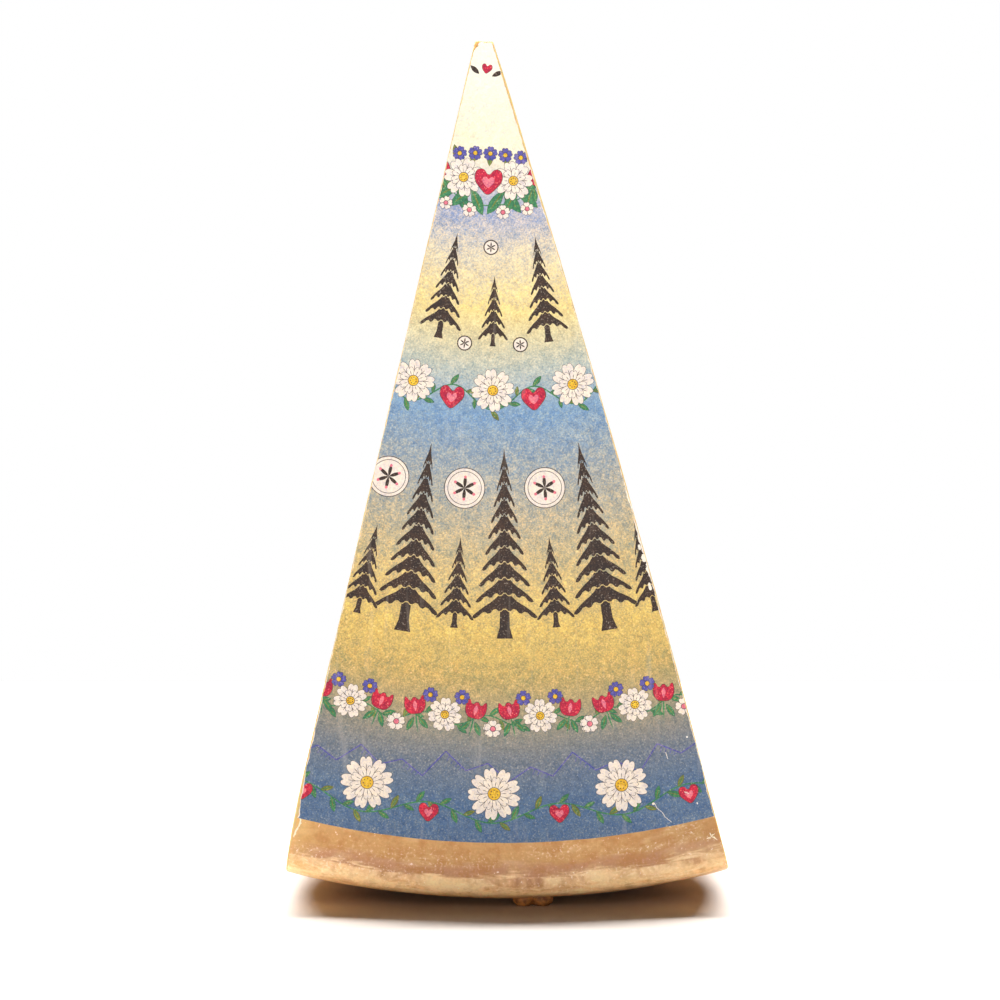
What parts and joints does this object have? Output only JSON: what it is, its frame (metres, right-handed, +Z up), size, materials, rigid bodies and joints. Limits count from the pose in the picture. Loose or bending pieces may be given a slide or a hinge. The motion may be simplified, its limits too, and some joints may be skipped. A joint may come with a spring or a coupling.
{
  "type": "cheese wedge",
  "caption": "Tall wedge of large-eyed hard cheese standing on its rounded rind, with a printed paper label on its front face.",
  "frame": {"origin": "centre of the wedge's footprint box, on the surface that the rind stands on", "axes": "+Z up towards the blunt tip, which is the middle of the wheel; +X to the right across the wedge; the labelled face looks along -Y, and the wheel's axis runs along Y"},
  "size_m": [0.2214, 0.1684, 0.4254],
  "materials": {
    "cheese": "satin, slightly oily cut cheese and dry tan rind",
    "label_paper": "matt printed paper glued flat to the rind"
  },
  "bodies": {
    "root": {"cheese": "cheese", "label": "label_paper"}
  },
  "joints": []
}
